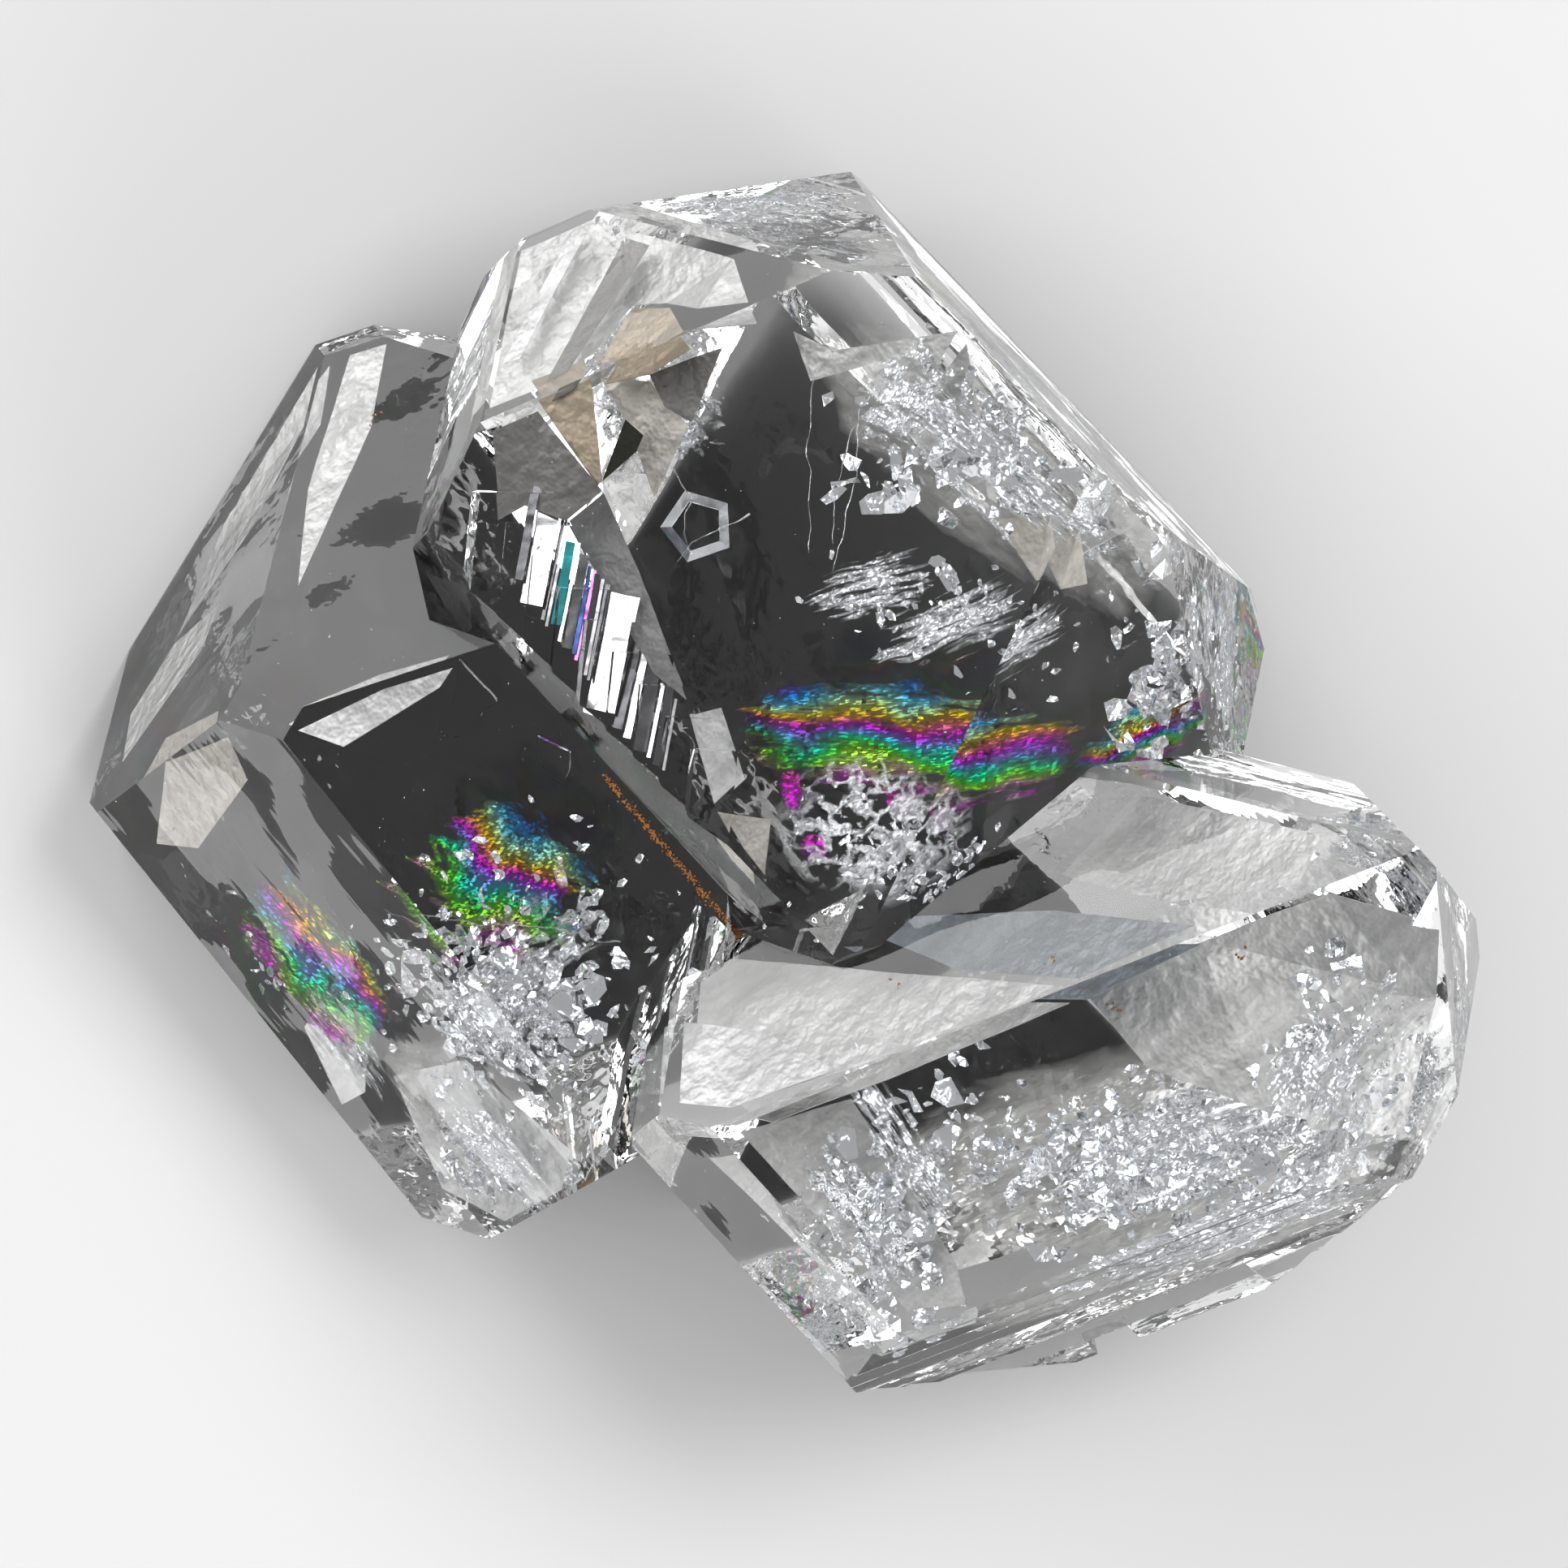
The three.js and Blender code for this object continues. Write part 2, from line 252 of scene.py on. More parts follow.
# Heaps of small flat cracks, in millimetres: middle, spread along the picture's right, up and
# depth, how many, the length of one, and a seed.
CRACKLES = {
    "top_crackle": ((-16.4, 14.6, 7.4), (4.6, 1.5, 1.6), 160, 0.6, 101),
    "shoulder_crackle": ((-6.6, 16.6, 12.0), (3.6, 3.2, 2.0), 140, 0.6, 103),
    "end_crackle": ((5.0, 15.4, 5.4), (1.6, 3.4, 1.6), 170, 0.6, 107),
    "window_sparks": ((-2.0, 11.8, 8.6), (5.6, 2.0, 1.4), 60, 0.6, 109),
    "tip_crackle": ((3.6, 4.2, 8.0), (3.0, 1.6, 2.0), 90, 0.6, 111),
    "side_crackle": ((-2.6, -9.0, 8.4), (4.8, 4.2, 1.8), 300, 0.7, 113),
    "foot_crackle": ((2.2, -13.6, 6.4), (3.0, 2.2, 1.6), 190, 0.6, 127),
    "belly_crackle": ((-7.0, -14.6, 5.6), (3.4, 2.0, 1.0), 70, 0.6, 131),
    "front_crackle": ((16.0, 3.6, 12.4), (8.0, 2.6, 2.6), 520, 0.55, 137),
    "front_edge_crackle": ((11.6, -4.0, 13.0), (2.4, 4.4, 1.6), 160, 0.6, 139),
    "front_tip_crackle": ((18.0, 11.8, 13.6), (2.0, 3.4, 2.0), 120, 0.55, 149),
    "front_flakes": ((16.6, 3.4, 12.6), (9.0, 2.8, 1.6), 70, 1.6, 223),
    "front_edge_flakes": ((12.2, -3.4, 14.4), (2.4, 4.6, 1.0), 40, 1.5, 227),
    "front_tip_flakes": ((18.6, 11.0, 14.0), (2.4, 4.6, 1.0), 40, 1.4, 229),
    "side_flakes": ((-2.0, -9.4, 8.8), (4.4, 3.8, 1.4), 60, 1.6, 233),
    "foot_flakes": ((2.2, -14.0, 7.4), (3.4, 2.4, 1.6), 60, 1.5, 239),
    "shoulder_flakes": ((-4.6, 16.8, 12.4), (6.4, 2.4, 1.4), 60, 1.5, 241),
    "end_flakes": ((4.6, 14.6, 8.0), (2.2, 4.0, 1.6), 50, 1.4, 251),
    "window_chips": ((-2.7, 12.6, 11.0), (0.4, 0.4, 0.4), 3, 1.2, 197),
    "shoulder_chips": ((0.6, 16.9, 9.4), (0.6, 0.6, 0.4), 4, 1.2, 199),
    "front_chips": ((9.0, 1.4, 12.4), (2.4, 1.0, 0.4), 7, 0.9, 211),
}

# How the flakes of a heap vary: how far they scatter over its spread, their lengths and widths
# as shares of the full one, their corners, which way they face, and how they lean and bend.
FLAKE_SCATTER = 0.5
FLAKE_LENGTHS = (0.25, 1.0)
FLAKE_WIDTHS = (0.25, 0.8)
FLAKE_CORNERS = (5, 7)
FLAKE_FACINGS = (TO_LEFT_LAMP, TO_RIGHT_LAMP, TO_BACK_LAMP, LEVEL)
FLAKE_LEAN = 0.22
FLAKE_BEND = 0.12

# Knots of the wisps of healed crack, in millimetres.
FILAMENTS = (
    ((-11.8, 14.0, 10.0), (-9.9, 12.3, 10.0), (-8.3, 10.7, 10.2), (-6.6, 9.2, 10.0)),
    ((-8.8, 13.6, 10.0), (-7.4, 11.9, 10.2), (-5.8, 9.7, 10.0), (-5.6, 9.4, 9.8)),
    ((-9.4, 14.4, 9.4), (-8.6, 12.8, 9.8), (-7.6, 11.2, 9.6), (-6.4, 10.0, 9.6)),
    ((-12.0, 8.0, 12.6), (-11.0, 7.6, 12.6), (-10.2, 6.6, 12.6), (-9.2, 6.4, 12.6)),
    ((-9.2, 8.8, 12.4), (-9.4, 7.6, 12.5), (-9.8, 6.6, 12.5), (-9.6, 5.8, 12.4)),
    ((-1.0, -5.2, 11.0), (-3.0, -6.6, 10.8), (-5.0, -8.8, 10.6), (-7.4, -10.6, 10.4)),
)

# How a wisp runs: steps between two knots, how far it strays in millimetres, its waves and
# beads per millimetre, and its mean and least radius as shares of a crack's gap.
WISP_STEPS = 14
WISP_STRAY = 0.2
WISP_WAVES = 1.3
WISP_BEADS = 3
WISP_MEAN = 0.4
WISP_LEAST = 0.2

# The hollow crystal's middle and radius in millimetres, its turn in degrees, and the width and
# slant of its walls as shares of the radius.
HOLLOW_MIDDLE = (-10.0, 7.1, 12.0)
HOLLOW_RADIUS = 1.3
HOLLOW_TURN = 20
HOLLOW_WALL = 0.30
HOLLOW_SLANT = 0.16

# Bars of light on the growth steps: width of each, the gap after it and its length, in
# millimetres, by colour. The grey bars are painted shade between the bright ones.
GROWTH_BARS = (
    ("grey", 0.30, 0.02, 3.4),
    ("white", 0.80, 0.03, 3.8),
    ("grey", 0.12, 0.03, 3.7),
    ("white", 0.10, 0.05, 3.8),
    ("teal", 0.34, 0.03, 3.0),
    ("white", 0.12, 0.03, 3.6),
    ("grey", 0.36, 0.02, 3.4),
    ("blue", 0.14, 0.02, 3.2),
    ("magenta", 0.12, 0.02, 3.3),
    ("grey", 0.20, 0.02, 3.4),
    ("white", 0.12, 0.04, 3.5),
    ("grey", 0.10, 0.02, 3.5),
    ("white", 1.05, 0.03, 4.2),
    ("grey", 0.34, 0.04, 3.8),
    ("white", 0.28, 0.05, 3.6),
    ("grey", 0.50, 0.05, 3.4),
    ("white", 0.14, 0.06, 3.0),
    ("grey", 0.30, 0.06, 2.8),
    ("white", 0.10, 0.10, 2.6),
)
# Tints of the bar mirrors; the grey one is painted shade.
BAR_COLOURS = {
    "white": (0.96, 0.96, 0.98),
    "grey": (0.16, 0.16, 0.17),
    "teal": (0.05, 0.55, 0.58),
    "blue": (0.12, 0.25, 0.75),
    "magenta": (0.70, 0.20, 0.60),
}

# Where the row of bars starts, in millimetres, the way the row runs, the way each bar points,
# and how unevenly the bars lean.
BARS_START = (-13.9, 2.5, 12.3)
BARS_ALONG = (0.99, -0.12, -0.03)
BAR_DIRECTION = (0.63, -0.776, 0.0)
BAR_LEAN = 0.04

# Flat inner faces that throw back an even light: tint, depth under the surface in millimetres,
# and corners in pixels of the photograph. The faces with the grey, blue and dark tints, and with the
# one at 0.30, are painted shade: the same mirror dimmed to stand for darker places.
PANES = {
    "window_top_pane": ("pale", 2.6, ((640, 306), (728, 268), (905, 318), (922, 372), (868, 404),
        (822, 372), (778, 376), (730, 436), (600, 512))),
    "window_top_streak": ("mid_shade", 2.2, ((770, 290), (800, 300), (700, 455), (672, 470))),
    "window_top_flash": ("bright", 2.2, ((700, 290), (722, 284), (640, 440), (618, 446))),
    "steps_top_pane": ("mid_shade", 1.5, ((606, 530), (662, 506), (742, 604), (694, 640), (646, 622),
        (612, 640))),
    "steps_side_pane": ("grey", 1.5, ((700, 640), (744, 606), (786, 700), (846, 862), (806, 830))),
    # The pyramid's faces carry different tints: its right face and its dark patch are painted shade
    # on its shaded side.
    "pyramid_roof": ("tan", 2.0, ((736, 448), (778, 380), (826, 378), (842, 408), (800, 462))),
    "pyramid_right": ("mid_shade", 2.4, ((800, 462), (842, 408), (890, 428), (852, 520), (818, 500))),
    "pyramid_left": ("tan", 1.8, ((662, 492), (728, 466), (742, 590), (736, 598))),
    "pyramid_dark": ("dark", 1.6, ((742, 592), (770, 516), (792, 536), (784, 556))),
    "pyramid_front": ("warm", 2.2, ((740, 466), (800, 470), (848, 524), (806, 612), (772, 520))),
    "window_right_pane": ("pale", 3.2, ((958, 356), (1040, 326), (1180, 408), (1112, 520),
        (1062, 452), (1000, 470))),
    "window_shoulder_pane": ("pale", 3.6, ((1112, 526), (1190, 424), (1330, 540), (1398, 648),
        (1300, 668), (1216, 614))),
    "window_end_pane": ("warm", 3.0, ((1230, 640), (1330, 650), (1340, 720), (1276, 716))),
    "window_corner_pane": ("bright", 1.6, ((850, 880), (888, 872), (918, 960), (880, 990))),
    "window_low_pane": ("warm", 1.8, ((884, 1000), (950, 1010), (930, 1090), (902, 1060))),
    "front_left_pane": ("pale", 2.0, ((862, 1214), (905, 1182), (1060, 1196), (1310, 1216),
        (1086, 1304), (940, 1352), (836, 1382))),
    "front_flash_pane": ("bright", 1.7, ((842, 1262), (940, 1272), (1030, 1318), (900, 1366),
        (838, 1360))),
    "front_right_pane": ("pale", 2.4, ((1330, 1214), (1480, 1160), (1640, 1100), (1740, 1130),
        (1770, 1230), (1730, 1400), (1560, 1370), (1416, 1318))),
    "front_back_pane": ("pale", 1.6, ((1310, 1078), (1400, 980), (1500, 1000), (1630, 1030),
        (1600, 1090), (1440, 1112))),
    "front_blue_pane": ("blue", 2.2, ((1040, 1168), (1300, 1122), (1470, 1140), (1330, 1206),
        (1180, 1196))),
    "front_foot_pane": ("pale", 3.4, ((910, 1396), (1050, 1356), (1180, 1560), (1190, 1610),
        (1120, 1620))),
    "side_chunk_pane": ("warm", 1.4, ((196, 938), (276, 908), (300, 960), (236, 1046), (184, 1040))),
    "side_upper_pane": ("bright", 1.4, ((352, 892), (470, 848), (556, 822), (540, 846), (420, 920))),
    "side_rim_pane": ("pale", 1.2, ((268, 640), (384, 446), (366, 520), (306, 640), (210, 780))),
    "side_rim_low_pane": ("pale", 1.2, ((150, 880), (206, 790), (262, 742), (240, 800), (140, 940))),
    "side_top_pane": ("pale", 1.6, ((424, 430), (470, 416), (452, 520), (398, 640), (362, 720),
        (372, 600))),
    "side_foot_pane": ("bright", 1.8, ((480, 1330), (566, 1310), (700, 1420), (690, 1470),
        (618, 1510), (540, 1470))),
    "side_belly_pane": ("bright", 1.6, ((368, 1270), (424, 1184), (452, 1232), (444, 1350),
        (414, 1366))),
}

# How far those faces lean, down towards -X, in degrees, and how much of its depth a corner keeps
# at each try that finds it outside the crystal.
PANE_LEAN = 15
PANE_RETREAT = 0.8
# Tints of the inner faces, all one mirror at different strengths. Pale and bright throw back nearly
# all the light; grey, blue, dark and the one at 0.30 are painted shade.
PANE_TINTS = {
    "pale": (0.90, 0.90, 0.89),
    "bright": (1.0, 1.0, 1.0),
    "warm": (0.82, 0.78, 0.72),
    "tan": (0.66, 0.56, 0.42),
    "grey": (0.46, 0.46, 0.46),
    "mid_shade": (0.30, 0.29, 0.28),
    "blue": (0.38, 0.42, 0.46),
    "dark": (0.03, 0.03, 0.02),
}

# The stained part of the seam, from and to, the specks, and how far their grains scatter, in
# pixels of the photograph.
SEAM_FROM = (742, 955)
SEAM_TO = (912, 1155)
SEAM_SCATTER = 1.6
SPECK_PIXELS = ((1370, 1237), (1110, 1213), (1040, 240), (1530, 1180), (1300, 1180), (455, 512))
SPECK_SCATTER = 5
SPECK_GRAINS = 5
STAIN_SEED = 11

# Least and greatest length of a grain of stain, in millimetres.
STAIN_SIZES = (0.06, 0.2)

# A grain's shape: shares of its size that are its length, width and height, and how deep it sinks.
GRAIN_LENGTHS = (0.6, 1.4)
GRAIN_WIDTH = 0.7
GRAIN_HEIGHT = 0.3
GRAIN_SINK = 0.1

# Where dust lies: the least upward slope that holds it, its crowds per millimetre, and how thin
# the crowds wear. Then how its size varies, and how many times the middling size is the most.
DUST_SLOPE = 0.1
DUST_CROWDS = 0.18
DUST_THINNING = (-0.5, 0.3)
DUST_SIZE_SPREAD = 0.45
DUST_SIZE_LIMIT = 3.0
DUST_SEED = 5

# The skin of the crystal is rough up to this height.
ROUGH_HEIGHT = 6 * MM

# Softboxes, in metres: place, width and height, radiance, and the point that each one faces.
SOFTBOXES = {
    "left_softbox": ((-1.1, 0.0, 0.42), (1.6, 0.84), 3.2, (0, 0, 0.42)),
    "right_softbox": ((1.1, 0.0, 0.42), (1.6, 0.84), 3.0, (0, 0, 0.42)),
    "back_softbox": ((0.1, 0.8, 0.9), (0.6, 0.5), 7.5, (0, 0, 0.008)),
    "front_softbox": ((0.0, -1.2, 0.2), (0.9, 0.4), 3.0, (0, 0, 0.2)),
}
ROOM_LIGHT = 0.36
FLOOR_COLOUR = (0.8, 0.8, 0.8)
FLOOR_DROP = 0.05 * MM
CAMERA_REACH = 20

# Places of the Mix node's colour sockets, whose names it gives to other sockets too.
MIX_FIRST = 6
MIX_SECOND = 7
MIX_RESULT = 2


def surface_tree():
    """The crystal's surface, ready to be searched along rays and for nearest points."""
    shape = bmesh.new()
    shape.from_mesh(CRYSTAL.data)
    bmesh.ops.remove_doubles(shape, verts=shape.verts, dist=TOUCHING)
    tree = BVHTree.FromBMesh(shape)
    shape.free()
    return tree


SURFACE = surface_tree()


def inside(spot, margin):
    """Whether a point lies in the crystal, at least a margin away from its surface."""
    nearest, _, _, distance = SURFACE.find_nearest(spot)
    if nearest is None or distance < margin:
        return False
    crossings = 0
    start = spot.copy()
    while True:
        hit, _, _, _ = SURFACE.ray_cast(start, ACROSS_ALL_FACES)
        if hit is None:
            return crossings % 2 == 1
        crossings += 1
        start = hit + ACROSS_ALL_FACES * TOUCHING


def group_socket(group, name, kind, way, value=None):
    socket = group.interface.new_socket(name=name, in_out=way, socket_type=kind)
    if value is not None:
        socket.default_value = value


def node(tree, kind, **inputs):
    made = tree.nodes.new(kind)
    for name, value in inputs.items():
        made.inputs[name].default_value = value
    return made


def link_or_set(tree, socket, value):
    """Feed a socket from another socket, or set it to a number or vector."""
    if isinstance(value, bpy.types.NodeSocket):
        tree.links.new(value, socket)
    elif value is not None:
        socket.default_value = value


def sums(tree, operation, first, second=None, clamped=False):
    made = tree.nodes.new("ShaderNodeMath")
    made.operation = operation
    made.use_clamp = clamped
    link_or_set(tree, made.inputs[0], first)
    link_or_set(tree, made.inputs[1], second)
    return made.outputs[0]


def vectors(tree, operation, first, second=None):
    made = tree.nodes.new("ShaderNodeVectorMath")
    made.operation = operation
    link_or_set(tree, made.inputs[0], first)
    link_or_set(tree, made.inputs[1], second)
    return made.outputs["Value" if operation in ("DISTANCE", "LENGTH") else "Vector"]


def new_group(name):
    group = bpy.data.node_groups.new(name, "ShaderNodeTree")
    return group, group.nodes.new("NodeGroupInput"), group.nodes.new("NodeGroupOutput")


def rim_group():
    """How far a point of a sheet lies from the sheet's middle, in its own UV map."""
    group, _, leave = new_group("sheet_rim")
    group_socket(group, "Distance", "NodeSocketFloat", "OUTPUT")
    spot = group.nodes.new("ShaderNodeTexCoord")
    own = vectors(group, "FRACTION", spot.outputs["UV"])
    group.links.new(vectors(group, "DISTANCE", own, (0.5, 0.5, 0)), leave.inputs[0])


def ragged_mask_group():
    """A mask over a sheet: full in the middle, torn into feathers towards its rim."""
    group, enter, leave = new_group("ragged_mask")
    group_socket(group, "Cells", "NodeSocketVector", "INPUT", (6, 6, 1))
    group_socket(group, "Cover", "NodeSocketFloat", "INPUT", 0.55)
    group_socket(group, "Sharpness", "NodeSocketFloat", "INPUT", 9.0)
    group_socket(group, "Mask", "NodeSocketFloat", "OUTPUT")
    spot = group.nodes.new("ShaderNodeTexCoord")
    cells = vectors(group, "MULTIPLY", spot.outputs["UV"], enter.outputs["Cells"])
    grain = node(group, "ShaderNodeTexNoise", Scale=1.0, Detail=4.0, Roughness=0.62, Distortion=0.6)
    group.links.new(cells, grain.inputs["Vector"])
    rim = placed_group(group, "sheet_rim").outputs["Distance"]
    falloff = sums(group, "MULTIPLY", sums(group, "POWER", rim, 3.0), 3.4)
    level = sums(group, "ADD", grain.outputs[0], enter.outputs["Cover"])
    level = sums(group, "SUBTRACT", sums(group, "SUBTRACT", level, falloff), 1.0)
    mask = sums(group, "MULTIPLY", level, enter.outputs["Sharpness"], clamped=True)
    group.links.new(mask, leave.inputs["Mask"])


def network_mask_group():
    """A mask of thin walls between cells, as in a crack that has healed into a net."""
    group, enter, leave = new_group("network_mask")
    group_socket(group, "Cells", "NodeSocketVector", "INPUT", (6, 6, 1))
    group_socket(group, "Mask", "NodeSocketFloat", "OUTPUT")
    spot = group.nodes.new("ShaderNodeTexCoord")
    cells = vectors(group, "MULTIPLY", spot.outputs["UV"], enter.outputs["Cells"])
    shake = node(group, "ShaderNodeTexNoise", Scale=1.2, Detail=3.0)
    group.links.new(cells, shake.inputs["Vector"])
    swing = vectors(group, "MULTIPLY", shake.outputs["Color"], (2.2, 2.2, 0))
    shaken = vectors(group, "ADD", cells, swing)
    walls = node(group, "ShaderNodeTexVoronoi", Scale=1.0)
    walls.feature = "DISTANCE_TO_EDGE"
    group.links.new(shaken, walls.inputs["Vector"])
    thin = sums(group, "MULTIPLY", walls.outputs["Distance"], 9.0)
    thin = sums(group, "MULTIPLY", thin, sums(group, "ADD", shake.outputs[0], 0.2))
    wall = sums(group, "SUBTRACT", 1.0, thin)
    rim = placed_group(group, "sheet_rim").outputs["Distance"]
    fade = sums(group, "SUBTRACT", 1.5, sums(group, "MULTIPLY", rim, 3.0), clamped=True)
    group.links.new(sums(group, "MULTIPLY", wall, fade, clamped=True), leave.inputs["Mask"])


def interference_group():
    """The colour that an air film of a given thickness, in nanometres, throws back."""
    group, enter, leave = new_group("interference_colours")
    group_socket(group, "Thickness", "NodeSocketFloat", "INPUT", 300.0)
    group_socket(group, "Color", "NodeSocketColor", "OUTPUT")
    mix = group.nodes.new("ShaderNodeCombineColor")
    for channel, wavelength in WAVELENGTHS.items():
        angle = sums(group, "MULTIPLY", enter.outputs["Thickness"], 2 * math.pi / wavelength)
        wave = sums(group, "SINE", angle)
        group.links.new(sums(group, "MULTIPLY", wave, wave), mix.inputs[channel])
    group.links.new(mix.outputs[0], leave.inputs["Color"])


def placed_group(tree, name, **inputs):
    made = tree.nodes.new("ShaderNodeGroup")
    made.node_tree = bpy.data.node_groups[name]
    for socket, value in inputs.items():
        made.inputs[socket].default_value = value
    return made


def plain_material(name, colour, roughness, metallic=0.0):
    """A material of one colour, its node tree and its shader."""
    material = bpy.data.materials.new(name)
    material.use_nodes = True
    shader = material.node_tree.nodes["Principled BSDF"]
    shader.inputs["Base Color"].default_value = (*colour, 1)
    shader.inputs["Metallic"].default_value = metallic
    shader.inputs["Roughness"].default_value = roughness
    return material, material.node_tree, shader


def mirror_material(name, colour, roughness):
    """An air-filled crack or film, which throws light back as a mirror does."""
    return plain_material(name, colour, roughness, metallic=1.0)


def rippled(tree, shader, scale, strength, distance=0.2 * MM):
    """Fine uneven relief on a material, its scale in waves per metre."""
    spot = tree.nodes.new("ShaderNodeTexCoord")
    rough = node(tree, "ShaderNodeTexNoise", Scale=scale, Detail=2.0)
    tree.links.new(spot.outputs["Object"], rough.inputs["Vector"])
    relief = node(tree, "ShaderNodeBump", Strength=strength, Distance=distance)
    tree.links.new(rough.outputs[0], relief.inputs["Height"])
    tree.links.new(relief.outputs[0], shader.inputs["Normal"])


def masked(tree, shader, group, share=1.0, **inputs):
    """Show a sheet only where a mask group covers it, and there by no more than a share."""
    mask = placed_group(tree, group, **inputs).outputs["Mask"]
    if share < 1:
        mask = sums(tree, "MULTIPLY", mask, share)
    tree.links.new(mask, shader.inputs["Alpha"])


def feather_material(colour):
    """A crack torn into long feathers."""
    material, tree, shader = mirror_material("feather_crack", colour, 0.22)
    masked(tree, shader, "ragged_mask", Cells=(3, 13, 1), Cover=0.62, Sharpness=4.0)
    rippled(tree, shader, 900.0, 0.7)
    return material


def haze_material(colour):
    """A faint cloud that lets most of the light through."""
    material, tree, shader = mirror_material("haze", colour, 0.6)
    masked(tree, shader, "ragged_mask", 0.6, Cells=(3, 3, 1), Cover=0.95, Sharpness=2.0)
    rippled(tree, shader, 1500.0, 0.4)
    return material


def network_material(colour):
    """A healed crack, of which a net of walls is left."""
    material, tree, shader = mirror_material("healed_network", colour, 0.3)
    masked(tree, shader, "network_mask", Cells=(7, 6, 1))
    rippled(tree, shader, 1200.0, 0.6)
    return material


def film_material(name, thinnest, slope_depth, wave_depth):
    """A film whose colours follow its thickness: a slope with waves on it, in nanometres."""
    material, tree, shader = mirror_material(name, (1, 1, 1), 0.14)
    masked(tree, shader, "ragged_mask", Cells=(4, 7, 1), Cover=0.72, Sharpness=3.0)
    spot = tree.nodes.new("ShaderNodeTexCoord")
    own = vectors(tree, "FRACTION", spot.outputs["UV"])
    split = tree.nodes.new("ShaderNodeSeparateXYZ")
    tree.links.new(own, split.inputs[0])
    broad = vectors(tree, "MULTIPLY", spot.outputs["UV"], (3.0, 1.6, 1))
    wander = node(tree, "ShaderNodeTexNoise", Scale=1.0, Detail=2.5, Roughness=0.45)
    tree.links.new(broad, wander.inputs["Vector"])
    slope = sums(tree, "MULTIPLY", sums(tree, "SUBTRACT", 1.0, split.outputs["Y"]), slope_depth)
    slope = sums(tree, "ADD", slope, thinnest)
    waves = sums(tree, "MULTIPLY", wander.outputs[0], wave_depth)
    film = placed_group(tree, "interference_colours")
    tree.links.new(sums(tree, "ADD", slope, waves), film.inputs["Thickness"])
    dimmed = vectors(tree, "SCALE", film.outputs["Color"])
    dimmed.node.inputs["Scale"].default_value = FILM_BRIGHTNESS
    tree.links.new(dimmed, shader.inputs["Base Color"])
    rippled(tree, shader, 700.0, 0.3)
    return material


def grit_material(colour):
    """A crack so crumpled that it glitters, bright beside dark."""
    material, tree, shader = mirror_material("grit", colour, 0.2)
    masked(tree, shader, "ragged_mask", Cells=(7, 9, 1), Cover=0.66, Sharpness=6.0)
    rippled(tree, shader, 2200.0, 1.0, 0.5 * MM)
    return material


def pane_material(name, colour):
    """An even face with faint streaks, a mirror of the given tint; with a dim tint it is painted
    shade.
    """
    material, tree, shader = mirror_material(name, colour, 0.55)
    spot = tree.nodes.new("ShaderNodeTexCoord").outputs["Object"]
    streaks = node(tree, "ShaderNodeTexNoise", Scale=1.0, Detail=4.0, Roughness=0.7)
    stretched = vectors(tree, "MULTIPLY", spot, (900, 160, 500))
    tree.links.new(stretched, streaks.inputs["Vector"])
    tints = tree.nodes.new("ShaderNodeMix")
    tints.data_type = "RGBA"
    dim = sums(tree, "MULTIPLY", sums(tree, "SUBTRACT", streaks.outputs[0], 0.38), 3.0, True)
    tree.links.new(dim, tints.inputs["Factor"])
    tints.inputs[MIX_FIRST].default_value = (*[part * 0.7 for part in colour], 1)
    tints.inputs[MIX_SECOND].default_value = (*colour, 1)
    tree.links.new(tints.outputs[MIX_RESULT], shader.inputs["Base Color"])
    rippled(tree, shader, 1700.0, 0.6, 0.3 * MM)
    return material


def skin_of_crystal(tree, shader):
    """Fine growth lines, broad waves, and a rougher skin low on the crystal."""
    spot = tree.nodes.new("ShaderNodeTexCoord").outputs["Object"]
    lines = node(tree, "ShaderNodeTexNoise", Scale=1.0, Detail=1.0, Roughness=0.6)
    tree.links.new(vectors(tree, "MULTIPLY", spot, (90, 2400, 2400)), lines.inputs["Vector"])
    waves = node(tree, "ShaderNodeTexNoise", Scale=220.0, Detail=1.0)
    tree.links.new(spot, waves.inputs["Vector"])
    pits = node(tree, "ShaderNodeTexNoise", Scale=1500.0, Detail=1.0, Roughness=0.6)
    tree.links.new(spot, pits.inputs["Vector"])
    split = tree.nodes.new("ShaderNodeSeparateXYZ")
    tree.links.new(spot, split.inputs[0])
    climb = sums(tree, "DIVIDE", split.outputs["Z"], ROUGH_HEIGHT)
    depth = sums(tree, "SUBTRACT", 1.0, climb, True)
    patch = sums(tree, "MULTIPLY", sums(tree, "SUBTRACT", waves.outputs[0], 0.42), 6.0, True)
    low = sums(tree, "MULTIPLY", depth, patch)
    height = sums(tree, "MULTIPLY", lines.outputs[0], 0.10)
    height = sums(tree, "ADD", height, sums(tree, "MULTIPLY", waves.outputs[0], 5.0))
    rough = sums(tree, "MULTIPLY", pits.outputs[0], low)
    height = sums(tree, "ADD", height, rough)
    relief = node(tree, "ShaderNodeBump", Strength=0.35, Distance=0.1 * MM)
    tree.links.new(height, relief.inputs["Height"])
    tree.links.new(relief.outputs[0], shader.inputs["Normal"])


def sheet_frame(middle, facing, turn):
    """The turn and place of a sheet, its width along the picture's right but for its own turn."""
    normal = Vector(facing).normalized()
    across = (PHOTO_RIGHT - normal * PHOTO_RIGHT.dot(normal)).normalized()
    along = normal.cross(across)
    basis = Matrix((across, along, normal)).transposed().to_4x4()
    spin = Matrix.Rotation(math.radians(turn), 4, "Z")
    return Matrix.Translation(Vector(middle) * MM) @ basis @ spin


